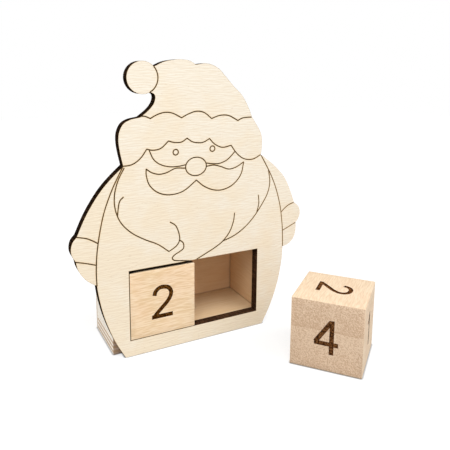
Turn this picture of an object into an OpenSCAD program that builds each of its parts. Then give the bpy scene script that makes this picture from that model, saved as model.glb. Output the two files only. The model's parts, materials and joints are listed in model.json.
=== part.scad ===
// Wooden advent calendar: a folk Father Christmas cut from plywood, with a box behind for two date cubes.
// Millimetres. The origin is the middle of the base board's underside, +Z is up and the front faces -Y.

/* [Date cubes] */
// Side of each solid wooden cube
cube_side = 40; // [30:1:50]
// Height of the engraved numbers
digit_h = 20.2; // [14:0.2:26]
// Width of the engraved numbers
digit_w = 13.5; // [9:0.1:17]
// Width of the strokes that make a number
digit_stroke = 2.5; // [1.5:0.1:3.5]
// Depth of the engraved numbers
digit_depth = 0.5; // [0.2:0.1:1.5]
// How far the left cube's front stands behind the panel's front
cube_set_back = 0.1; // [0:0.1:2]
// Gap between the left cube and the edge of the window beside it
cube_edge_gap = 0.4; // [0.3:0.1:1.5]
// Running gap under and behind the left cube
cube_slide_gap = 0.1; // [0.1:0.1:1]

/* [Loose cube] */
// Distance of the loose cube's middle to the right of the calendar's middle
loose_x = 63.6; // [40:0.1:90]
// Gap between the panel's front and the nearest corner of the loose cube
loose_gap = 22; // [5:1:60]
// Turn of the loose cube about its upright axis
loose_turn = -50.8; // [-80:0.2:-10]

/* [Front panel] */
// Thickness of the plywood panel
panel_t = 6; // [3:0.5:8]
// Sideways room that the window leaves beside the two cubes
window_play = 4; // [2:0.5:8]
// Room that the window leaves above the cubes
window_head = 2.1; // [1:0.1:5]
// Width of panel that is left beside the window at the foot
foot_rail = 4; // [3:0.5:8]
// Height of the figure above the window
figure_above = 116.8; // [90:0.2:140]
// Width of the engraved lines
line_w = 0.5; // [0.3:0.1:1.2]
// Depth of the engraved lines
line_depth = 0.4; // [0.2:0.1:1]

/* [Box] */
// Thickness of the base board, whose top is the window's sill
base_t = 9.5; // [6:0.5:16]
// Thickness of the two side walls
wall_t = 6; // [4:0.5:10]
// Thickness of the top board
top_t = 6; // [4:0.5:10]
// Thickness of the back board
back_t = 3; // [2:0.5:6]
// Distance from the window's edge to the side wall behind it
side_room = 2.5; // [0:0.5:4]
// Distance from the window's upper edge to the top board behind it
top_room = 1.5; // [0:0.5:4]

/* [Hidden] */

panel_wood = "#f4e5ca";
box_wood = "#dcc096";
left_cube_wood = "#eecb9c";
right_cube_wood = "#dab78f";

// Overlap of a cutter past the face that it cuts
cut_over = 1;

// Window, box and cube places, all from the cubes and the boards
window_w = 2 * cube_side + window_play;
window_h = cube_side + window_head;
window_top = base_t + window_h;
room_w = window_w + 2 * side_room;
room_h = window_h + top_room;
room_d = cube_set_back + cube_side + cube_slide_gap - panel_t;
box_w = room_w + 2 * wall_t;
box_h = base_t + room_h + top_t;
panel_back = -room_d / 2;
panel_front = panel_back - panel_t;
left_cube_x = -window_w / 2 + cube_edge_gap + cube_side / 2;
left_cube_y = panel_front + cube_set_back + cube_side / 2;
loose_reach = cube_side / 2 * (abs(cos(loose_turn)) + abs(sin(loose_turn)));
loose_y = panel_front - loose_gap - loose_reach;

// The figure is drawn on a sheet of its own, x from the middle and z from the table. The sheet is then
// stretched so that its foot, window and top come where the sizes above put them.
sheet_foot = 46;
sheet_window_top = 51.6;
sheet_top = 168.4;
across = (window_w / 2 + foot_rail) / sheet_foot;
below = window_top / sheet_window_top;
above = figure_above / (sheet_top - sheet_window_top);
function placed(p) =
    [p[0] * across,
     p[1] < sheet_window_top ? p[1] * below : window_top + (p[1] - sheet_window_top) * above];
function all_placed(path) = [for (p = path) placed(p)];

// Steps from one point of a drawn curve to the next
curve_steps = 5;
// A smooth curve through all the given points
function blend(a, b, c, d, t) =
    0.5 * (2 * b + (c - a) * t + (2 * a - 5 * b + 4 * c - d) * t * t + (3 * b - a - 3 * c + d) * t * t * t);
function curve(p) =
    let (last = len(p) - 1, q = concat([2 * p[0] - p[1]], p, [2 * p[last] - p[last - 1]]))
    concat([for (i = [0:last - 1]) for (s = [0:curve_steps - 1])
                blend(q[i], q[i + 1], q[i + 2], q[i + 3], s / curve_steps)],
           [p[last]]);
function arc(middle, rx, rz, from, to, count) =
    [for (i = [0:count]) let (a = from + (to - from) * i / count) middle + [rx * cos(a), rz * sin(a)]];
function backwards(path) = [for (i = [len(path) - 1:-1:0]) path[i]];
// The path without its last point, where the next path starts
function open_end(path) = [for (i = [0:len(path) - 2]) path[i]];

// The band that a pen of a given width leaves along a path
function along(path, i) =
    let (d = path[min(i + 1, len(path) - 1)] - path[max(i - 1, 0)]) d / norm(d);
function side(path, w) =
    [for (i = [0:len(path) - 1]) let (d = along(path, i)) path[i] + w / 2 * [-d[1], d[0]]];
function band(path, w) = concat(side(path, w), backwards(side(path, -w)));

// Pompom of the hat, with the angles where the hat's top and left edges meet it
pompom_middle = [-32, 158.5];
pompom_r = 8.8;
pompom_hat_top = 42;
pompom_hat_left = 299;
pompom_steps = 30;
function on_pompom(a) = pompom_middle + pompom_r * [cos(a), sin(a)];

// Outline of the figure, from the foot up the right side
body_right_edge = [[46.5, 0], [51.8, 10], [55.8, 20], [58.7, 30], [60.6, 41], [61.2, 50]];
mitten_right_edge = [[61.2, 50], [65.8, 51.4], [69.4, 54.7], [71, 59.5], [71.1, 65]];
cuff_right_edge = [[71.1, 65], [73.2, 68], [74.1, 71.5], [72.8, 75.5], [69.2, 78.7]];
arm_right_edge = [[69.2, 78.7], [65.4, 88], [60.5, 96.8], [52.3, 105], [43.2, 111.8]];
trim_right_edge = [[43.2, 111.8], [43.8, 118], [43.1, 124.5], [40, 130], [36.4, 135.2]];
hat_right_edge = [[36.4, 135.2], [34, 140.6], [29.7, 147.8], [23.6, 153.6], [18, 159.5], [13.2, 164],
                  [6.5, 166.4], [-0.8, 165.7]];
// The hat's top, its pompom and the left side down to the foot
hat_top_edge = [[-0.8, 165.7], [-4.6, 167.8], [-10, 168.4], [-15, 168], [-20, 166.9],
                on_pompom(pompom_hat_top)];
hat_left_edge = [on_pompom(pompom_hat_left), [-25.3, 149.4], [-25, 147], [-26.2, 144], [-29.1, 140.8],
                 [-33.7, 137.3]];
trim_left_edge = [[-33.7, 137.3], [-39.4, 136.2], [-43.2, 134], [-45.4, 130], [-46, 125.5], [-45.4, 119.5],
                  [-43.7, 111.3]];
arm_left_edge = [[-43.7, 111.3], [-49.6, 106], [-55.2, 100.2], [-60, 93.8], [-65.1, 85.4], [-69.8, 75.4]];
cuff_left_edge = [[-69.8, 75.4], [-72, 72.8], [-73, 69.6], [-72.8, 66], [-70.8, 61.8]];
mitten_left_edge = [[-70.8, 61.8], [-69.8, 57.4], [-67.4, 53], [-64.2, 49.4], [-60, 46.4]];
body_left_edge = [[-60, 46.4], [-59.2, 40], [-57.2, 30], [-54.2, 20], [-50.2, 10], [-44.9, 0]];

right_edges = [body_right_edge, mitten_right_edge, cuff_right_edge, arm_right_edge, trim_right_edge,
               hat_right_edge, hat_top_edge];
left_edges = [hat_left_edge, trim_left_edge, arm_left_edge, cuff_left_edge, mitten_left_edge,
              body_left_edge];
pompom_edge = arc(pompom_middle, pompom_r, pompom_r, pompom_hat_top, pompom_hat_left, pompom_steps);
outline = concat([for (edge = right_edges) each open_end(curve(edge))], open_end(pompom_edge),
                 [for (edge = left_edges) each open_end(curve(edge))],
                 [body_left_edge[len(body_left_edge) - 1]]);

// Engraved lines: the hat's fur trim
trim_lines = [
    [[-34.2, 137.9], [-31, 137.8], [-27.9, 136.5]],
    [[-27.9, 136.5], [-24, 138.5], [-19.5, 139.6], [-14.8, 139], [-9.5, 136.3]],
    [[-9.5, 136.3], [-4.8, 138.5], [0, 139.7], [4.8, 138.7], [9.3, 135.2]],
    [[9.3, 135.2], [14.5, 136.8], [20.4, 136.6], [26.7, 133.4]],
    [[26.7, 133.4], [30.4, 134.9], [37, 135.2]],
    [[-44.1, 111.4], [-40, 111.6], [-36.5, 113], [-33.2, 115.8], [-30.3, 119.8]],
    [[-30.3, 119.8], [-26.6, 119], [-22, 119.8], [-17.5, 123.6]],
    [[-17.5, 123.6], [-13.8, 122.6], [-9.6, 122.6], [-6.2, 124.6]],
    [[-6.2, 124.6], [-2.4, 122.2], [3.4, 121.6], [8, 123.6]],
    [[8, 123.6], [11.4, 120.2], [16.4, 118], [22.3, 118.8]],
    [[22.3, 118.8], [26, 114], [30.6, 110.4], [35.8, 109.3], [39.6, 110.1], [43.6, 112.2]]];
// Cheeks and moustache
face_lines = [
    [[-28.8, 118.9], [-26.5, 114], [-22.5, 110.7], [-17, 109], [-12, 108.8], [-7, 109.4]],
    [[5.8, 109.4], [10.5, 108.6], [15, 108.6], [20, 110.5], [25.2, 115.2]],
    [[-30.8, 108.8], [-27.4, 106.4], [-23, 105.2], [-18.4, 105.9], [-13.4, 107.8], [-7.1, 107.4]],
    [[-30.8, 108.8], [-30.7, 104.6], [-28.8, 99.2], [-24, 94.8], [-17, 92.8], [-8.6, 94.2], [-0.4, 99.8]],
    [[-0.4, 99.8], [4.4, 95.8], [10.4, 93], [17, 92.4], [24, 95], [29.2, 100.6], [31.1, 108.2]],
    [[31.1, 108.2], [26, 105.5], [20.8, 104.6], [15.4, 106.6], [10.6, 107.8], [6, 107.4]]];
// Beard with its locks
beard_lines = [
    [[-43.2, 110.4], [-46.8, 103.6], [-48.9, 96], [-48.7, 88], [-45.8, 80.2], [-40, 73.7], [-32.6, 68.8],
     [-24.6, 64.6], [-17.9, 59.3]],
    [[49, 101.8], [50.2, 94.4], [48.8, 87.2], [44.4, 79.8], [38.2, 72], [31.4, 66.2], [24.6, 62.5],
     [17.2, 60.3]],
    [[25.2, 77], [24.4, 71.6], [21.8, 65.4], [17.2, 60.3], [12, 57.1], [6, 54.4], [-1, 51.4]],
    [[-17, 76.8], [-13.6, 74.2], [-11.7, 69.8], [-11.2, 65.2], [-13.4, 61.8], [-17.9, 59.3]],
    [[-11.2, 65.2], [-9, 63.2], [-8.7, 60], [-11.2, 58.2], [-13.8, 57], [-15.8, 55.2], [-14.6, 53.4],
     [-9.4, 52.3], [-4, 51.3]],
    [[-44, 94.5], [-46.4, 91.6], [-47.6, 84.2]],
    [[42, 86.5], [42.4, 81], [41, 75.4]]];
// Coat front and cuffs
coat_lines = [
    [[-44, 111], [-49.8, 99.8], [-54.4, 88.4], [-57.2, 77.6], [-59.3, 65.4], [-60.1, 54.6], [-60, 46.2]],
    [[43.2, 111.8], [50, 100.2], [54.8, 89.8], [58.4, 77.8], [60.3, 66], [61, 57], [61.2, 49.8]],
    [[-70.2, 75.5], [-65, 74.1], [-61.4, 72.2], [-58.5, 70.2]],
    [[69.6, 78.8], [66, 77.8], [62.8, 76.2], [59.4, 73.4]],
    [[-71.2, 61.9], [-65.4, 60.2], [-60, 58.3]],
    [[71.5, 65.2], [66, 63], [60.7, 60.9]]];
// Nose and eyes, as middle and half sizes
nose = [[-0.6, 107.9], 6.6, 5.4];
eyes = [[[-13.2, 117], 1.6, 1.6], [[9.9, 117.6], 1.6, 1.6]];
ring_steps = 12;
// A closed ring as two half rings, each of which runs one step into the other
function half_rings(middle, rx, rz) =
    let (step = 180 / ring_steps)
    [for (start = [90, 270]) arc(middle, rx, rz, start, start + 180 + step, ring_steps + 1)];

module pen(path, w) {
    polygon(band(path, w));
}

module ring(shape) {
    for (path = half_rings(shape[0], shape[1], shape[2]))
        pen(all_placed(path), line_w);
}

module figure_lines() {
    for (line = concat(trim_lines, face_lines, beard_lines, coat_lines))
        pen(all_placed(curve(line)), line_w);
    pen(all_placed(arc(pompom_middle, pompom_r, pompom_r, pompom_hat_left - 360, pompom_hat_top,
                       ring_steps)), line_w);
    ring(nose);
    for (eye = eyes)
        ring(eye);
}

// Stands a drawing upright with its face at a given y, so that it reaches back by a thickness
module upright(face_y, thickness) {
    translate([0, face_y + thickness, 0])
        rotate([90, 0, 0])
            linear_extrude(thickness)
                children();
}

module front_panel() {
    color(panel_wood)
        difference() {
            upright(panel_front, panel_t)
                polygon(all_placed(outline));
            upright(panel_front - cut_over, panel_t + 2 * cut_over)
                translate([-window_w / 2, base_t])
                    square([window_w, window_h]);
            upright(panel_front - cut_over, cut_over + line_depth)
                figure_lines();
        }
}

module board(size, bottom_middle) {
    color(box_wood)
        translate(bottom_middle - [size[0] / 2, size[1] / 2, 0])
            cube(size);
}

module base_board() {
    board([box_w, room_d, base_t], [0, 0, 0]);
}

module left_wall() {
    board([wall_t, room_d, room_h], [-(room_w + wall_t) / 2, 0, base_t]);
}

module right_wall() {
    board([wall_t, room_d, room_h], [(room_w + wall_t) / 2, 0, base_t]);
}

module top_board() {
    board([box_w, room_d, top_t], [0, 0, base_t + room_h]);
}

module back_board() {
    board([box_w, back_t, box_h], [0, (room_d + back_t) / 2, 0]);
}

// Pen paths of the numbers 0 to 8, in a frame one wide and one high
digit_paths = [
    half_rings([0.5, 0.5], 0.5, 0.5),
    [curve([[0.12, 0.74], [0.34, 0.86], [0.5, 1.02]]), [[0.52, 1.06], [0.52, -0.06]]],
    [curve([[0, 0.74], [0.07, 0.88], [0.26, 0.98], [0.51, 1], [0.78, 0.95], [0.93, 0.81], [0.91, 0.65],
            [0.73, 0.47], [0.43, 0.29], [0.16, 0.13], [-0.03, 0]]), [[-0.15, 0], [1.03, 0]]],
    [arc([0.46, 0.76], 0.46, 0.24, 165, -90, ring_steps),
     arc([0.46, 0.26], 0.52, 0.26, 90, -165, ring_steps)],
    [[[0.77, 1.06], [0.77, -0.06]], [[0.73, 1.02], [-0.04, 0.3]], [[-0.1, 0.28], [1.1, 0.28]]],
    [[[0.94, 1], [0.16, 1]], [[0.2, 1.04], [0.08, 0.5]], curve([[0.08, 0.52], [0.24, 0.61], [0.5, 0.64],
     [0.8, 0.58], [0.98, 0.36], [0.86, 0.1], [0.54, 0], [0.2, 0.06], [0.02, 0.26]])],
    [each half_rings([0.5, 0.31], 0.5, 0.31),
     curve([[0, 0.33], [0.04, 0.62], [0.22, 0.9], [0.52, 1], [0.84, 0.9], [0.95, 0.74]])],
    [[[-0.06, 1], [1, 1]], curve([[0.97, 0.98], [0.66, 0.66], [0.44, 0.32], [0.34, -0.06]])],
    concat(half_rings([0.5, 0.77], 0.42, 0.23), half_rings([0.5, 0.27], 0.5, 0.27))];

// A number drawn about its middle
module digit(number) {
    pen_w = digit_w - digit_stroke;
    pen_h = digit_h - digit_stroke;
    for (path = digit_paths[number])
        pen([for (p = path) [(p[0] - 0.5) * pen_w, (p[1] - 0.5) * pen_h]], digit_stroke);
}

// Turns that bring the front face to the front, right, back, left, top and bottom
face_turns = [[0, 0, 0], [0, 0, 90], [0, 0, 180], [0, 0, -90], [-90, 0, 0], [90, 0, 0]];

// A cube about its own middle, with a number and its roll on each face
module date_cube(numbers, rolls) {
    difference() {
        cube(cube_side, center = true);
        for (i = [0:len(face_turns) - 1])
            rotate(face_turns[i])
                upright(-cube_side / 2 - cut_over, cut_over + digit_depth)
                    rotate(rolls[i])
                        digit(numbers[i]);
    }
}

module left_date_cube() {
    color(left_cube_wood)
        translate([left_cube_x, left_cube_y, base_t + cube_slide_gap + cube_side / 2])
            date_cube([2, 0, 7, 6, 8, 1], [0, 0, 0, 0, 90, 0]);
}

module right_date_cube() {
    color(right_cube_wood)
        translate([loose_x, loose_y, cube_side / 2])
            rotate([0, 0, loose_turn])
                date_cube([4, 1, 3, 5, 2, 0], [0, 0, 0, 0, -90, 0]);
}

front_panel();
base_board();
left_wall();
right_wall();
top_board();
back_board();
left_date_cube();
right_date_cube();
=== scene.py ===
# Looks of the wooden advent calendar, in metres: burnt plywood front, glued box and engraved date cubes
import json
import math

import bmesh
import bpy
from mathutils import Matrix, Vector
from mathutils.bvhtree import BVHTree
from mathutils.geometry import delaunay_2d_cdt
from mathutils.kdtree import KDTree

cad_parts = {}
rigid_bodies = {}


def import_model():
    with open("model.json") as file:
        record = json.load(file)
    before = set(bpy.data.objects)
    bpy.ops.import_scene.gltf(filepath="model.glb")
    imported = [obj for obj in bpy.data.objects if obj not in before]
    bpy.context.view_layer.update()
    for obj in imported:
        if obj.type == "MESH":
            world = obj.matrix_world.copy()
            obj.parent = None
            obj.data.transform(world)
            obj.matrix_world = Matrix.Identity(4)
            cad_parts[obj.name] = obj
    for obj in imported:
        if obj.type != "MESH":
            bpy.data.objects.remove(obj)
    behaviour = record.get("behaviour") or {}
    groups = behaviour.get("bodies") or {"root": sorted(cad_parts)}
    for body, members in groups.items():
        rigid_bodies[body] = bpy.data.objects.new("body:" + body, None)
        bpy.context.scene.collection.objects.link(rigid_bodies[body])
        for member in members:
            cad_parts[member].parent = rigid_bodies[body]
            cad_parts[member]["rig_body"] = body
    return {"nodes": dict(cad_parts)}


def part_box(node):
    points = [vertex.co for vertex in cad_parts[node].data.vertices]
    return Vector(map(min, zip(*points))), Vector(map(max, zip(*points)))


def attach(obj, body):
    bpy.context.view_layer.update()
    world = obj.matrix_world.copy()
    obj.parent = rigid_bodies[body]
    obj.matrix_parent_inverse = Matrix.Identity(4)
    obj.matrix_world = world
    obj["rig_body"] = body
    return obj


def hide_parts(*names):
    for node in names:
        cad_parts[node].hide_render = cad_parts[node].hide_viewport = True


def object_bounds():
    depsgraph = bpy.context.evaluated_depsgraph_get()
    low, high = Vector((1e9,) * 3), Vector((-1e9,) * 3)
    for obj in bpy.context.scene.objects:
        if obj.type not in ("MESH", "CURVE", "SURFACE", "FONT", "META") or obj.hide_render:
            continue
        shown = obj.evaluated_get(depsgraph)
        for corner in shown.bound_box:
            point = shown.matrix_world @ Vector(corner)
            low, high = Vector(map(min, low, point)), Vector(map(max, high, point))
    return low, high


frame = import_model()
cad_low, cad_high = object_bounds()

# A millimetre in metres, the axes by number, and the way up
MM = 0.001
X, Y, Z = range(3)
UP = Vector((0, 0, 1))

# Camera as in the photograph: its place, direction and roll, and where its axis meets the square image
IMAGE_SIDE = 450
CAMERA_PLACE = Vector((-0.1243, -0.29045, 0.1627))
CAMERA_AZIMUTH = math.radians(-28.07)
CAMERA_ELEVATION = math.radians(9.82)
CAMERA_ROLL = math.radians(0.49)
FOCAL_PX = 518.5
AXIS_ROW_PX = 160
SENSOR = 36
CAMERA_NEAREST = 0.01

# How near points count as one, in metres and in a sheet's millimetres, and as lying in one plane
WELD = 1e-6
SHEET_WELD_MM = 1e-5
SAME_PLANE = 0.02 * MM
# From which cosine on two ways count as one, and up to which slope a side counts as upright
SAME_WAY = 0.999
UPRIGHT = 0.01
# How deep an engraving may be, how far beside an edge its floor is looked for, and from how high above
DEEPEST_MARK = 1.5 * MM
BESIDE = 0.05 * MM
PROBE = 1 * MM
# Largest turn between faces that are shaded as one
SMOOTH_ANGLE = math.radians(32)
# Eased edges of the cubes and of the sawn boards
CUBE_EASE = 0.3 * MM
BOARD_EASE = 0.25 * MM
EASE_STEPS = 3
# Reach and strength of the laser's toast: about lines, close to lines and cuts, behind, and in numbers,
# where it is partly painted shade of the engraved walls
LINE_TOAST = (0.9 * MM, 0.1)
CUT_TOAST = (0.2 * MM, 1.4)
BACK_TOAST = (1.5 * MM, 0.7)
NUMBER_TOAST_AND_SHADE = (0.5 * MM, 0.6)
# Two rings of points beside each toasted edge, as shares of the toast's reach, and the points' spacing
RING_SHARES = (0.4, 1.0)
RING_SPACING = 0.6 * MM
# Plain grid over a sheet, the room that its points keep from edges, and the share of it that is enough
SHEET_GRID = 4 * MM
GRID_ROOM = SHEET_GRID / 3
ENOUGH_ROOM = 0.8
# Spacing of the points along edges, from which distances are taken
EDGE_SAMPLE = 0.2 * MM


def srgb(red, green, blue):
    """A colour given as 0 to 255 for a screen, as the linear colour that shaders take."""
    def linear(value):
        share = value / 255
        return share / 12.92 if share <= 0.04045 else ((share + 0.055) / 1.055) ** 2.4
    return (linear(red), linear(green), linear(blue), 1)


def by_grain(grain, along, across):
    """One value for the axis of the grain and another for the two axes across it."""
    return [along if i == grain else across for i in range(3)]


class Nodes:
    """The node tree of a material or world, with a short call for each kind of node."""

    def __init__(self, owner):
        owner.use_nodes = True
        self.owner = owner
        self.tree = owner.node_tree
        self.tree.nodes.clear()

    def node(self, kind, sockets, **settings):
        made = self.tree.nodes.new(kind)
        for setting, value in settings.items():
            setattr(made, setting, value)
        for socket, value in sockets.items():
            if isinstance(value, bpy.types.NodeSocket):
                self.tree.links.new(value, made.inputs[socket])
            else:
                made.inputs[socket].default_value = value
        return made

    def place(self):
        """The piece's own coordinates in millimetres."""
        coords = self.node("ShaderNodeTexCoord", {}).outputs["Object"]
        return self.stretched(coords, (1 / MM, 1 / MM, 1 / MM))

    def facing(self, axis):
        """How far the surface faces along an axis of the piece, from 0 to 1."""
        normal = self.node("ShaderNodeTexCoord", {}).outputs["Normal"]
        return self.math("ABSOLUTE", self.parts(normal)[axis])

    def stretched(self, vector, factors):
        return self.node("ShaderNodeVectorMath", {0: vector, 1: factors}, operation="MULTIPLY").outputs[0]

    def swayed(self, vector, reach, scale):
        """The vector, moved about by a slow noise by up to half the reach each way."""
        noise = self.node("ShaderNodeTexNoise", {"Vector": vector, "Scale": scale, "Detail": 1.0})
        centred = self.node("ShaderNodeVectorMath", {0: noise.outputs["Color"], 1: (0.5, 0.5, 0.5)},
                            operation="SUBTRACT").outputs[0]
        return self.node("ShaderNodeVectorMath", {0: centred, 1: reach, 2: vector},
                         operation="MULTIPLY_ADD").outputs[0]

    def noise(self, vector, factors, detail=2.0, roughness=0.5):
        sockets = {"Vector": self.stretched(vector, factors), "Scale": 1.0,
                   "Detail": detail, "Roughness": roughness}
        return self.node("ShaderNodeTexNoise", sockets).outputs["Fac"]

    def threads(self, vector, factors, step):
        """Fine noise about 0: a noise less the same noise a step further on, so nothing broad is left."""
        further = self.node("ShaderNodeVectorMath", {0: vector, 1: step}, operation="ADD").outputs[0]
        return self.math("SUBTRACT", self.noise(vector, factors, 0.0), self.noise(further, factors, 0.0))

    def parts(self, vector):
        return self.node("ShaderNodeSeparateXYZ", {0: vector}).outputs

    def attribute(self, name):
        return self.node("ShaderNodeAttribute", {}, attribute_name=name).outputs["Fac"]

    def math(self, operation, *values):
        return self.node("ShaderNodeMath", dict(enumerate(values)), operation=operation).outputs[0]

    def spread(self, value, low, high, to_low=0.0, to_high=1.0):
        """The value from low to high, spread over another range and held at its ends."""
        sockets = {0: value, 1: low, 2: high, 3: to_low, 4: to_high}
        return self.node("ShaderNodeMapRange", sockets).outputs[0]

    def ramp(self, value, stops):
        made = self.node("ShaderNodeValToRGB", {0: value})
        elements = made.color_ramp.elements
        while len(elements) < len(stops):
            elements.new(1)
        for element, (position, colour) in zip(elements, stops):
            element.position = position
            element.color = colour
        return made.outputs[0]

    def mix(self, share, first, second, blend="MIX"):
        sockets = {0: share, 6: first, 7: second}
        return self.node("ShaderNodeMix", sockets, data_type="RGBA", blend_type=blend).outputs[2]

    def rings(self, vector, grain, heart, ring_mm):
        """Year rings about a heart along the grain: each rises from 0 to 1 and then starts again."""
        across = self.stretched(vector, by_grain(grain, 0.0, 1.0))
        from_heart = self.node("ShaderNodeVectorMath", {0: across, 1: heart},
                               operation="DISTANCE").outputs["Value"]
        return self.math("FRACT", self.math("DIVIDE", from_heart, ring_mm))

    def shaded(self, colour, shade, reach, deepest, open_from, most):
        """The colour, mixed with a shade in nooks, where things within reach leave little room."""
        room = self.node("ShaderNodeAmbientOcclusion", {"Distance": reach}).outputs["AO"]
        return self.mix(self.spread(room, deepest, open_from, most, 0.0), colour, shade)

    def surface(self, colour, roughness, height, depth, shine=0.25):
        """Ends the tree in a surface with that colour, roughness and relief, and gives the material."""
        bump = self.node("ShaderNodeBump", {"Height": height, "Distance": depth, "Strength": 1.0})
        surface = self.node("ShaderNodeBsdfPrincipled", {
            "Base Color": colour, "Roughness": roughness, "Specular IOR Level": shine,
            "Normal": bump.outputs[0]})
        self.node("ShaderNodeOutputMaterial", {0: surface.outputs[0]})
        return self.owner


def material(name):
    return Nodes(bpy.data.materials.new(name))


# Woods
# Ranges that hold the middle values of a noise, and most of its values
NOISE_CORE = (0.35, 0.65)
NOISE_MOST = (0.3, 0.7)
ROSY_TINT = srgb(255, 248, 246)
# Shade in corners between boards and in gaps beside cubes: its colour and reach, the shares of open room
# at which it is full and gone, and how much of it there is
SEAM_SHADE = srgb(96, 56, 34)
SEAM_REACH = 1.5 * MM
SEAM_ROOM = (0.5, 0.8)
SEAM_MOST = 0.35
GAP_SHADE = srgb(20, 11, 6)
GAP_REACH = 4 * MM
GAP_ROOM = (0.25, 0.55)
GAP_MOST = 1.0
# Where the laser's marks start to fade toward the panel's right edge, and where they are faintest, in mm
FAINT_FROM_TO = (25, 55)


def panel_face():
    """Sanded veneer: fine streaks, a few pores, random yellower patches, painted shade that makes it darker
    and yellower below and at the left, and toast from the laser.
    """
    s = material("panel_face")
    place = s.place()
    wavy = s.swayed(place, (0, 0, 1.5), 0.04)
    streak = s.noise(wavy, (0.12, 0.12, 1.5), 2.0, 0.6)
    grain = s.threads(wavy, (0.2, 0.2, 1.5), (0, 0, 0.35))
    fibre = s.noise(wavy, (0.4, 0.4, 5), 2.0)
    low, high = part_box("front_panel")
    # Painted shade: the veneer is tinted darker and yellower toward the bottom and toward the left
    painted_shade_below = s.spread(s.parts(place)[Z], low.z / MM, high.z / MM, 0.2, -0.2)
    painted_shade_leftward = s.spread(s.parts(place)[X], low.x / MM, high.x / MM, 0.15, -0.15)
    tone_and_painted_shade = s.math("ADD", s.noise(place, (0.07, 0.07, 0.07), 2.0), s.math("ADD", painted_shade_below, painted_shade_leftward))
    pores = s.spread(s.noise(wavy, (0.5, 0.5, 2.6), 1.0), 0.68, 0.76)
    veneer = s.ramp(streak, [(0.3, srgb(245, 236, 218)), (0.5, srgb(247, 238, 221)),
                             (0.7, srgb(249, 241, 225))])
    tinted = s.mix(s.spread(tone_and_painted_shade, *NOISE_CORE, 0.0, 0.8), veneer, srgb(245, 230, 204))
    fibred = s.mix(s.spread(grain, -0.2, 0.2, 0.36, 0.0), tinted, srgb(220, 196, 164))
    dotted = s.mix(s.math("MULTIPLY", pores, 0.25), fibred, srgb(184, 150, 112))
    strength = s.spread(s.parts(place)[X], *FAINT_FROM_TO, 1.0, 0.5)
    toast = s.math("MULTIPLY", s.attribute("toast"), strength)
    brown = s.ramp(toast, [(0.0, srgb(255, 255, 255)), (0.25, srgb(250, 226, 182)),
                           (0.7, srgb(148, 120, 90)), (1.0, srgb(56, 42, 30))])
    colour = s.mix(1.0, dotted, brown, "MULTIPLY")
    return s.surface(colour, s.spread(streak, *NOISE_MOST, 0.55, 0.68), fibre, 0.03 * MM)


def burnt_edge(name, black, brown, light):
    """Laser-cut edge: charred, with fine scars through the thickness and a hint of the plies."""
    s = material(name)
    place = s.place()
    scars = s.noise(place, (2.4, 0.1, 2.4), 3.0, 0.65)
    plies = s.noise(place, (0.05, 1.1, 0.05), 1.0)
    soot = s.ramp(scars, [(0.36, black), (0.52, brown), (0.7, light)])
    colour = s.mix(s.spread(plies, 0.45, 0.6, 0.0, 0.45), soot, black)
    return s.surface(colour, s.spread(scars, 0.3, 0.8, 1.0, 0.85), scars, 0.08 * MM, 0.0)


def engraved_line():
    """Bottom and sides of an engraved line: scorched brown, darker where the laser dwelt."""
    s = material("engraved_line")
    place = s.place()
    dwell = s.math("MULTIPLY_ADD", s.noise(place, (0.5, 0.5, 0.5), 3.0, 0.6), 0.5,
                   s.math("MULTIPLY", s.noise(place, (0.03, 0.03, 0.03)), 0.5))
    faint = s.math("ADD", dwell, s.spread(s.parts(place)[X], *FAINT_FROM_TO, 0.0, 0.2))
    colour = s.ramp(faint, [(0.38, srgb(26, 18, 10)), (0.5, srgb(50, 36, 20)), (0.7, srgb(134, 102, 63))])
    return s.surface(colour, s.spread(dwell, *NOISE_MOST, 0.85, 0.7), dwell, 0.05 * MM)


def plywood(name, node, axis, plies, veneer, edge):
    """Sawn plywood: a veneer on the faces, plies with darker glue lines at the sides, and browner ends."""
    low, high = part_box(node)
    s = material(name)
    place = s.place()
    wavy = s.swayed(place, (2, 2, 2), 0.05)
    along = s.spread(s.parts(place)[axis], low[axis] / MM, high[axis] / MM, 0.0, float(plies))
    crossed = s.math("MODULO", s.math("FLOOR", along), 2.0)
    glue = s.spread(s.math("ABSOLUTE", s.math("SUBTRACT", s.math("FRACT", along), 0.5)), 0.38, 0.5)
    lengthways = by_grain(Y if axis == X else X, 0.06, 1.0)
    grain = s.noise(wavy, lengthways, 3.0, 0.6)
    fibre = s.noise(wavy, [5 * f for f in lengthways], 2.0)
    speckle = s.noise(place, (1.3, 1.3, 1.3), 2.0)
    face = s.ramp(grain, [(0.3, veneer[1]), (0.6, veneer[0])])
    layer = s.mix(crossed, edge[0], edge[1])
    speckled = s.mix(s.spread(speckle, *NOISE_CORE, 0.15, 0.0), layer, edge[2])
    layers = s.mix(s.math("MULTIPLY", glue, 0.8), speckled, edge[2])
    ends = s.mix(s.spread(s.facing(Y), 0.5, 0.8, 0.0, 0.8), layers, edge[3])
    sawn = s.spread(s.facing(axis), 0.5, 0.8, 1.0, 0.0)
    clean = s.mix(sawn, s.mix(s.spread(fibre, *NOISE_CORE, 0.12, 0.0), face, veneer[1]), ends)
    colour = s.shaded(clean, SEAM_SHADE, SEAM_REACH, *SEAM_ROOM, SEAM_MOST)
    return s.surface(colour, s.spread(fibre, *NOISE_MOST, 0.7, 0.55), fibre, 0.04 * MM)


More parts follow.
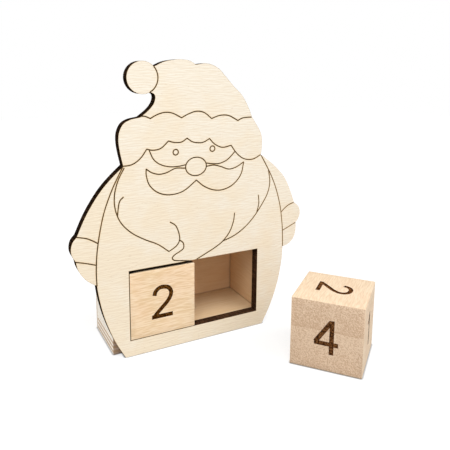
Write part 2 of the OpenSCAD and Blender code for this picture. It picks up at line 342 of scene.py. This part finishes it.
def long_grain(name, grain, heart, tones):
    """Solid wood along the grain: fine streaks, slow blotches, faint year rings and short pores."""
    deep, medium, pale, pore = tones
    s = material(name)
    wavy = s.swayed(s.place(), (1.5, 1.5, 1.5), 0.05)
    streak = s.noise(wavy, by_grain(grain, 0.07, 1.0), 3.0, 0.65)
    fibre = s.noise(wavy, by_grain(grain, 0.3, 4.0), 2.0)
    pores = s.spread(s.noise(wavy, by_grain(grain, 0.3, 2.2), 1.0), 0.6, 0.72)
    fine = s.threads(wavy, by_grain(grain, 0.2, 1.5), by_grain(grain, 0.0, 0.25))
    ringed = s.math("MULTIPLY_ADD", s.rings(wavy, grain, heart, ring_mm=5.0), -0.05, streak)
    blotch = s.noise(wavy, by_grain(grain, 0.05, 0.12), 1.0)
    blotched = s.math("MULTIPLY_ADD", s.math("SUBTRACT", blotch, 0.5), 0.6, ringed)
    figure = s.math("MULTIPLY_ADD", fine, 1.7, blotched)
    wood = s.ramp(figure, [(0.08, deep), (0.48, medium), (0.86, pale)])
    rosy = s.spread(s.noise(wavy, (0.05, 0.05, 0.05), 1.0), 0.4, 0.6, 0.0, 0.5)
    tinted = s.mix(rosy, wood, ROSY_TINT, "MULTIPLY")
    dotted = s.mix(s.math("MULTIPLY", pores, 0.2), tinted, pore)
    colour = s.shaded(dotted, GAP_SHADE, GAP_REACH, *GAP_ROOM, GAP_MOST)
    return s.surface(colour, s.spread(fibre, *NOISE_MOST, 0.7, 0.55), fibre, 0.04 * MM)


def end_grain(name, grain, heart, tones):
    """Solid wood across the grain: a fine speckle of pores and faint year rings that end in a line."""
    deep, medium, pale, pore = tones
    s = material(name)
    wavy = s.swayed(s.place(), (2, 2, 2), 0.05)
    speckle = s.noise(wavy, (1.1, 1.1, 1.1), 3.0, 0.7)
    blotch = s.noise(wavy, (0.12, 0.12, 0.12), 2.0)
    pores = s.spread(s.noise(wavy, (2.4, 2.4, 2.4), 1.0), 0.6, 0.7)
    fine = s.threads(wavy, (1.5, 1.5, 1.5), (0.2, 0.2, 0.2))
    ring = s.rings(wavy, grain, heart, ring_mm=30.0)
    late = s.math("POWER", ring, 30.0)
    banded = s.math("MULTIPLY_ADD", ring, -0.14, speckle)
    blotched = s.math("MULTIPLY_ADD", s.math("SUBTRACT", blotch, 0.5), 0.2, banded)
    figure = s.math("MULTIPLY_ADD", fine, 0.7, blotched)
    wood = s.ramp(figure, [(0.26, deep), (0.44, medium), (0.62, pale)])
    lined = s.mix(s.math("MULTIPLY", late, 0.45), wood, pore)
    dotted = s.mix(s.math("MULTIPLY", pores, 0.3), lined, pore)
    colour = s.shaded(dotted, GAP_SHADE, GAP_REACH, *GAP_ROOM, GAP_MOST)
    return s.surface(colour, s.spread(speckle, *NOISE_MOST, 0.8, 0.65), speckle, 0.05 * MM)


def engraved_number(name, dark, brown, light):
    """Engraved number: burnt brown with paler flecks, and dark at its sides from burn and painted shade."""
    s = material(name)
    fleck = s.noise(s.place(), (1.2, 1.2, 1.2), 2.0, 0.6)
    floor = s.ramp(fleck, [(0.35, dark), (0.5, brown), (0.68, light)])
    # Darker near the sides: partly burn, partly painted shade of the engraved walls
    colour = s.mix(s.math("MULTIPLY", s.attribute("toast"), 0.85), floor, dark)
    return s.surface(colour, s.spread(fleck, *NOISE_MOST, 0.95, 0.85), fleck, 0.08 * MM, 0.0)


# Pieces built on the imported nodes
def welded(node, place):
    """A node's own mesh with its doubled points joined, in the frame that the place gives."""
    shape = bmesh.new()
    shape.from_mesh(frame["nodes"][node].data)
    bmesh.ops.transform(shape, matrix=place.inverted(), verts=shape.verts)
    bmesh.ops.remove_doubles(shape, verts=shape.verts, dist=WELD)
    bmesh.ops.recalc_face_normals(shape, faces=shape.faces)
    return shape


def middle(edge):
    return (edge.verts[0].co + edge.verts[1].co) / 2


class Sheet:
    """Faces that lie in one plane, with the edges that bound them."""

    def __init__(self, faces, normal, u_axis):
        self.faces = faces
        self.normal = normal
        self.u_axis = u_axis
        self.v_axis = normal.cross(u_axis)
        self.height = faces[0].calc_center_median().dot(normal)
        own = set(faces)
        self.edges = [e for f in faces for e in f.edges if any(o not in own for o in e.link_faces)]
        corners = [v.co.copy() for f in faces for v in f.verts]
        self.tree = BVHTree.FromPolygons(corners, [range(i, i + 3) for i in range(0, len(corners), 3)])

    def inward(self, edge):
        """The way from an edge into the sheet."""
        ahead = self.normal.cross(edge.verts[1].co - edge.verts[0].co).normalized()
        return ahead if self.holds(middle(edge) + ahead * BESIDE) else -ahead

    def onto(self, point):
        return point + self.normal * (self.height - point.dot(self.normal))

    def holds(self, point):
        """Whether a point of the plane lies in the sheet."""
        return self.tree.ray_cast(point + self.normal * PROBE, -self.normal, 2 * PROBE)[0] is not None

    def to_plane(self, point):
        return Vector((point.dot(self.u_axis), point.dot(self.v_axis))) / MM

    def to_space(self, spot):
        return (self.u_axis * spot.x + self.v_axis * spot.y) * MM + self.normal * self.height


def side_and_marks(shape, normal, u_axis):
    """The sheet of a side, and the sheet of the floors engraved in it, if there are any."""
    facing = [f for f in shape.faces if f.normal.dot(normal) > SAME_WAY]
    height = max(f.calc_center_median().dot(normal) for f in facing)
    depths = {f: height - f.calc_center_median().dot(normal) for f in facing}
    outer = [f for f in facing if depths[f] < SAME_PLANE]
    floors = [f for f in facing if SAME_PLANE < depths[f] < DEEPEST_MARK]
    return Sheet(outer, normal, u_axis), Sheet(floors, normal, u_axis) if floors else None


def mark_edges(side, marks):
    """The edges of a side that have an engraved floor beside them."""
    return [e for e in side.edges if marks.holds(marks.onto(middle(e) - side.inward(e) * BESIDE))]


def tree_of(points):
    """A tree of points, to find those near a place."""
    tree = KDTree(len(points))
    for i, point in enumerate(points):
        tree.insert(point, i)
    tree.balance()
    return tree


def sampled(edges):
    """A tree of points close together along some edges."""
    points = []
    for edge in edges:
        start, end = (v.co for v in edge.verts)
        steps = max(1, math.ceil((end - start).length / EDGE_SAMPLE))
        points += [start.lerp(end, i / steps) for i in range(steps + 1)]
    return tree_of(points)


def ring_points(sheet, edges, reach):
    """Points on rings beside some edges and their ends, each with its distance from them."""
    spots = []
    ends = {}
    for edge in edges:
        start, end = (v.co for v in edge.verts)
        steps = max(1, round((end - start).length / RING_SPACING))
        inward = sheet.inward(edge)
        spots += [(start.lerp(end, (i + 0.5) / steps), inward) for i in range(steps)]
        for v in edge.verts:
            ends[v] = ends.get(v, Vector()) + inward
    spots += [(v.co, inward.normalized()) for v, inward in ends.items()]
    return [(spot + inward * reach * share, reach * share)
            for spot, inward in spots for share in RING_SHARES]


def grid_points(sheet, spots):
    """Points of a plain grid over the sheet, each with the room that it keeps from the edges."""
    low = [min(s[i] for s in spots) for i in range(2)]
    high = [max(s[i] for s in spots) for i in range(2)]
    step = SHEET_GRID / MM
    columns = range(1, math.ceil((high[0] - low[0]) / step))
    rows = range(1, math.ceil((high[1] - low[1]) / step))
    return [(sheet.to_space(Vector((low[0] + step * i, low[1] + step * j))), GRID_ROOM)
            for i in columns for j in rows]


def add_sheet(piece, layer, sheet, slot, edges, corners=(), toasts=()):
    """Covers a sheet anew between edges and corners, with toasts that fade away from some edges."""
    spots = []
    links = []
    for edge in edges:
        links.append((len(spots), len(spots) + 1))
        spots += [sheet.to_plane(v.co) for v in edge.verts]
    for i, corner in enumerate(corners):
        links.append((len(spots), len(spots) + 1 if i + 1 < len(corners) else len(spots) - i))
        spots.append(corner)
    near = sampled(edges)
    rings = [p for some, (reach, _) in toasts for p in ring_points(sheet, some, reach)]
    for point, room in rings + grid_points(sheet, spots):
        if sheet.holds(point) and near.find(point)[2] > ENOUGH_ROOM * room:
            spots.append(sheet.to_plane(point))
    found, _, triangles, _, _, _ = delaunay_2d_cdt(spots, links, [], 0, SHEET_WELD_MM)
    points = [sheet.to_space(s) for s in found]
    verts = [piece.verts.new(p) for p in points]
    for some, (reach, strength) in toasts:
        near = sampled(some)
        for v in verts:
            v[layer] = max(v[layer], strength * max(0.0, 1 - near.find(v.co)[2] / reach) ** 2)
    for triangle in triangles:
        if sheet.holds(sum((points[i] for i in triangle), Vector()) / len(triangle)):
            piece.faces.new([verts[i] for i in triangle]).material_index = slot


def add_faces(piece, faces, slot):
    """Copies faces as they are."""
    for face in faces:
        piece.faces.new([piece.verts.new(v.co) for v in face.verts]).material_index = slot


def level_toast(piece, layer):
    """Gives points at one place the strongest toast among them, so that it stays when they are joined."""
    verts = list(piece.verts)
    tree = tree_of([v.co for v in verts])
    levels = [max(verts[i][layer] for _, i, _ in tree.find_range(v.co, WELD)) for v in verts]
    for v, level in zip(verts, levels):
        v[layer] = level


def ease(block, reach):
    """Rounds all edges of a block."""
    bmesh.ops.bevel(block, geom=block.edges, offset=reach, segments=EASE_STEPS, profile=0.5,
                    affect="EDGES")


def show(piece, node, materials, place=Matrix.Identity(4)):
    """Ends a piece: it stands for its node, rides on the node's body and takes the given materials."""
    name = node + "_wood"
    bmesh.ops.remove_doubles(piece, verts=piece.verts, dist=WELD)
    mesh = bpy.data.meshes.new(name)
    piece.to_mesh(mesh)
    piece.free()
    for made in materials:
        mesh.materials.append(made)
    mesh.shade_smooth()
    mesh.set_sharp_from_angle(angle=SMOOTH_ANGLE)
    shown = bpy.data.objects.new(name, mesh)
    bpy.context.scene.collection.objects.link(shown)
    shown.matrix_world = place
    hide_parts(node)
    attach(shown, frame["nodes"][node]["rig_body"])


def front_panel():
    """The figure: both faces covered anew, with a burnt outline painted darker as in shade, a burnt window
    painted lighter as if lit, and engraved lines.
    """
    face, rim, window, line = range(4)
    left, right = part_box("left_wall")[1].x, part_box("right_wall")[0].x
    sill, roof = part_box("base_board")[1].z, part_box("top_board")[0].z
    shape = welded("front_panel", Matrix.Identity(4))
    front, lines = side_and_marks(shape, Vector((0, -1, 0)), Vector((1, 0, 0)))
    back, _ = side_and_marks(shape, Vector((0, 1, 0)), Vector((-1, 0, 0)))
    drawn = mark_edges(front, lines)
    piece = bmesh.new()
    layer = piece.verts.layers.float.new("toast")
    toasts = [(drawn, LINE_TOAST), (front.edges, CUT_TOAST)]
    add_sheet(piece, layer, front, face, front.edges, toasts=toasts)
    add_sheet(piece, layer, back, face, back.edges, toasts=[(back.edges, BACK_TOAST)])
    add_faces(piece, lines.faces, line)
    flat = set(front.faces + back.faces + lines.faces)
    for wall in [f for f in shape.faces if f not in flat]:
        beside = wall.calc_center_median() + wall.normal * BESIDE
        # Cut edges in the window take the char painted lighter as if lit; the others take the char painted
        # darker as in shade
        cut_slot = window if left < beside.x < right and sill < beside.z < roof else rim
        add_faces(piece, [wall], line if lines.holds(lines.onto(beside)) else cut_slot)
    shape.free()
    level_toast(piece, layer)
    show(piece, "front_panel", [
        panel_face(),
        # Both are charred; the outline's is painted darker as in shade and the window's lighter as if lit
        burnt_edge("burnt_outline_painted_shade", srgb(9, 6, 4), srgb(28, 19, 12), srgb(86, 61, 42)),
        burnt_edge("burnt_window_painted_light", srgb(33, 21, 14), srgb(70, 47, 32), srgb(116, 84, 59)),
        engraved_line()])


def board(node, veneer, edge, axis, plies):
    """A sawn board with eased edges, with its plies stacked along an axis."""
    low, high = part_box(node)
    piece = bmesh.new()
    bmesh.ops.create_cube(piece, size=1)
    for v in piece.verts:
        v.co = [high[i] if v.co[i] > 0 else low[i] for i in range(3)]
    ease(piece, BOARD_EASE)
    show(piece, node, [plywood(node + "_plywood", node, axis, plies, veneer, edge)])


def cube_place(node):
    """The middle of a cube, turned so that -Y is the side that faces the camera most."""
    low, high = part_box(node)
    sides = {}
    for polygon in frame["nodes"][node].data.polygons:
        if abs(polygon.normal.z) < UPRIGHT:
            way = (round(polygon.normal.x, 2), round(polygon.normal.y, 2))
            sides[way] = sides.get(way, Vector()) + polygon.normal * polygon.area
    largest = max(side.length for side in sides.values())
    whole = [side for side in sides.values() if side.length > largest / 2]
    front = max(whole, key=lambda side: side.normalized().dot(CAMERA_BACK))
    return Matrix.Translation((low + high) / 2) @ Matrix.Rotation(math.atan2(front.x, -front.y), 4, "Z")


def date_cube(node, materials, end_axis):
    """A solid cube with eased edges and a number engraved in each side."""
    wood, end, number = range(3)
    place = cube_place(node)
    shape = welded(node, place)
    axes = [Vector((1, 0, 0)), Vector((0, 1, 0)), Vector((0, 0, 1))]
    half = max(v.co.x for v in shape.verts)
    piece = bmesh.new()
    bmesh.ops.create_cube(piece, size=2 * half)
    ease(piece, CUBE_EASE)
    plain = [f for f in piece.faces if f.calc_area() > half * half]
    bmesh.ops.delete(piece, geom=plain, context="FACES_ONLY")
    layer = piece.verts.layers.float.new("toast")
    inner = (half - CUBE_EASE) / MM
    corners = [Vector(c) * inner for c in ((-1, -1), (1, -1), (1, 1), (-1, 1))]
    done = set()
    for i in range(3):
        for sign in (1, -1):
            side, marks = side_and_marks(shape, sign * axes[i], axes[(i + 1) % 3])
            add_sheet(piece, layer, side, end if i == end_axis else wood, mark_edges(side, marks), corners)
            add_sheet(piece, layer, marks, number, marks.edges, toasts=[(marks.edges, NUMBER_TOAST_AND_SHADE)])
            done.update(side.faces + marks.faces)
    add_faces(piece, [f for f in shape.faces if f not in done], number)
    shape.free()
    level_toast(piece, layer)
    show(piece, node, materials, place)


# Camera
back_x = math.sin(CAMERA_AZIMUTH) * math.cos(CAMERA_ELEVATION)
back_y = -math.cos(CAMERA_AZIMUTH) * math.cos(CAMERA_ELEVATION)
CAMERA_BACK = Vector((back_x, back_y, math.sin(CAMERA_ELEVATION)))
level_right = UP.cross(CAMERA_BACK).normalized()
camera_right = Matrix.Rotation(CAMERA_ROLL, 3, CAMERA_BACK) @ level_right
camera_up = CAMERA_BACK.cross(camera_right)
lens = bpy.data.cameras.new("camera")
lens.sensor_width = SENSOR
lens.lens = FOCAL_PX / IMAGE_SIDE * SENSOR
lens.shift_y = (AXIS_ROW_PX - IMAGE_SIDE / 2) / IMAGE_SIDE
lens.clip_start = CAMERA_NEAREST
camera = bpy.data.objects.new("camera", lens)
turned = Matrix((camera_right, camera_up, CAMERA_BACK)).transposed()
camera.matrix_world = Matrix.Translation(CAMERA_PLACE) @ turned.to_4x4()
bpy.context.scene.collection.objects.link(camera)
bpy.context.scene.camera = camera

# Pieces
front_panel()

# Boards: a light and a dark tone of each veneer, and the tones of plies, crossed plies, glue and ends
warm_veneer = (srgb(235, 202, 162), srgb(227, 190, 146))
deep_veneer = (srgb(217, 190, 153), srgb(208, 177, 137))
light_veneer = (srgb(239, 203, 163), srgb(232, 192, 147))
# Painted light: the left wall, of the same plywood as the others, gets a paler veneer so its outer face
# looks brightly lit
painted_light_veneer = (srgb(249, 242, 230), srgb(242, 231, 213))
sawn_edge = (srgb(252, 246, 235), srgb(206, 178, 146), srgb(158, 126, 98), srgb(178, 142, 110))
board("base_board", deep_veneer, sawn_edge, axis=Z, plies=7)
board("left_wall", painted_light_veneer, sawn_edge, axis=X, plies=5)
board("right_wall", warm_veneer, sawn_edge, axis=X, plies=5)
board("top_board", warm_veneer, sawn_edge, axis=Z, plies=5)
board("back_board", light_veneer, sawn_edge, axis=Y, plies=3)

# Cubes: the heart of the year rings, in mm from the middle, and tones from dark to pale, then of pores
left_heart = (0, 30, 70)
left_tones = (srgb(231, 200, 158), srgb(240, 212, 175), srgb(246, 222, 190), srgb(208, 167, 122))
left_end_tones = (srgb(212, 174, 132), srgb(224, 190, 150), srgb(234, 204, 166), srgb(184, 140, 98))
date_cube("left_date_cube", [
    long_grain("left_cube_side", X, left_heart, left_tones),
    end_grain("left_cube_end", X, left_heart, left_end_tones),
    engraved_number("left_cube_number", srgb(32, 15, 3), srgb(76, 43, 12), srgb(124, 82, 34))], end_axis=X)

right_heart = (0, 0, 393)
right_tones = (srgb(222, 196, 165), srgb(229, 205, 175), srgb(235, 213, 185), srgb(208, 171, 137))
right_end_tones = (srgb(200, 168, 138), srgb(218, 189, 160), srgb(229, 203, 175), srgb(186, 151, 120))
date_cube("right_date_cube", [
    long_grain("right_cube_side", Y, right_heart, right_tones),
    end_grain("right_cube_end", Y, right_heart, right_end_tones),
    engraved_number("right_cube_number", srgb(40, 20, 8), srgb(94, 58, 31), srgb(136, 94, 57))], end_axis=Y)

# Stage and light
# Floor: half its side, its gap below the object, its own glow, what it shows of shadows, and what it
# gives back to the object
FLOOR_HALF = 1.5
FLOOR_GAP = 0.02 * MM
FLOOR_GLOW = 0.75
FLOOR_SHOWN = 0.3
FLOOR_BOUNCE = 0.45
# Reach of the painted contact shadow, a dark line where something stands on the floor
PAINTED_CONTACT_SHADOW_REACH = 1.2 * MM
# Even light from all around, a square lamp in front at the left, and two soft suns: way to them, strength
WORLD_LIGHT = 0.5
KEY_PLACE = Vector((-0.27, -0.49, 0.72))
KEY_AIM = Vector((0, 0, 0.08))
KEY_SIDE = 0.45
KEY_POWER = 3.5
SUN_SOFTNESS = math.radians(40)
RIGHT_SUN = (Vector((0.44, -0.51, 0.74)), 1.45)
LEFT_SUN = (Vector((-0.85, 0.42, 0.32)), 1.18)


def seen_directly(s):
    """1 for what the camera sees directly, in a mirror or through glass, and otherwise 0."""
    rays = s.node("ShaderNodeLightPath", {}).outputs
    mirrored = s.math("MAXIMUM", rays["Is Glossy Ray"], rays["Is Transmission Ray"])
    return s.math("MAXIMUM", rays["Is Camera Ray"], mirrored)


def floor_paper():
    """White floor that lights the object as plain paper does, shows its shadow only faintly, and has a
    painted contact shadow where things stand on it.
    """
    s = material("floor_paper")
    lit = s.node("ShaderNodeBsdfDiffuse", {0: (FLOOR_BOUNCE, FLOOR_BOUNCE, FLOOR_BOUNCE, 1)})
    shadow = s.node("ShaderNodeBsdfDiffuse", {0: (FLOOR_SHOWN, FLOOR_SHOWN, FLOOR_SHOWN, 1)})
    # Painted contact shadow: the glow is darkened where something stands close by
    contact = s.node("ShaderNodeAmbientOcclusion", {"Distance": PAINTED_CONTACT_SHADOW_REACH}).outputs["AO"]
    glow_with_painted_shadow = s.math("MULTIPLY", s.math("POWER", contact, 2.0), FLOOR_GLOW)
    glow = s.node("ShaderNodeEmission", {0: (1, 1, 1, 1), 1: glow_with_painted_shadow})
    shown = s.node("ShaderNodeAddShader", {0: shadow.outputs[0], 1: glow.outputs[0]})
    both = s.node("ShaderNodeMixShader", {0: seen_directly(s), 1: lit.outputs[0], 2: shown.outputs[0]})
    s.node("ShaderNodeOutputMaterial", {0: both.outputs[0]})
    return s.owner


def add_floor():
    shape = bmesh.new()
    bmesh.ops.create_grid(shape, x_segments=1, y_segments=1, size=FLOOR_HALF)
    mesh = bpy.data.meshes.new("floor")
    shape.to_mesh(mesh)
    shape.free()
    mesh.materials.append(floor_paper())
    made = bpy.data.objects.new("floor", mesh)
    made.location.z = cad_low.z - FLOOR_GAP
    bpy.context.scene.collection.objects.link(made)


def add_world():
    s = Nodes(bpy.data.worlds.new("studio"))
    light = s.node("ShaderNodeBackground", {0: (1, 1, 1, 1), 1: WORLD_LIGHT})
    white = s.node("ShaderNodeBackground", {0: (1, 1, 1, 1), 1: 1.0})
    both = s.node("ShaderNodeMixShader", {0: seen_directly(s), 1: light.outputs[0], 2: white.outputs[0]})
    s.node("ShaderNodeOutputWorld", {0: both.outputs[0]})
    bpy.context.scene.world = s.owner


def add_lamp(name, kind, came_from, **settings):
    """A lamp of one kind that shines from a direction, as an object to be placed."""
    lamp = bpy.data.lights.new(name, kind)
    for setting, value in settings.items():
        setattr(lamp, setting, value)
    made = bpy.data.objects.new(name, lamp)
    made.rotation_euler = came_from.to_track_quat("Z", "Y").to_euler()
    made.visible_camera = False
    bpy.context.scene.collection.objects.link(made)
    return made


add_floor()
add_world()
add_lamp("key", "AREA", KEY_PLACE - KEY_AIM, energy=KEY_POWER, size=KEY_SIDE).location = KEY_PLACE
add_lamp("right_sun", "SUN", RIGHT_SUN[0], energy=RIGHT_SUN[1], angle=SUN_SOFTNESS)
add_lamp("left_sun", "SUN", LEFT_SUN[0], energy=LEFT_SUN[1], angle=SUN_SOFTNESS)
bpy.context.scene.view_settings.view_transform = "Standard"
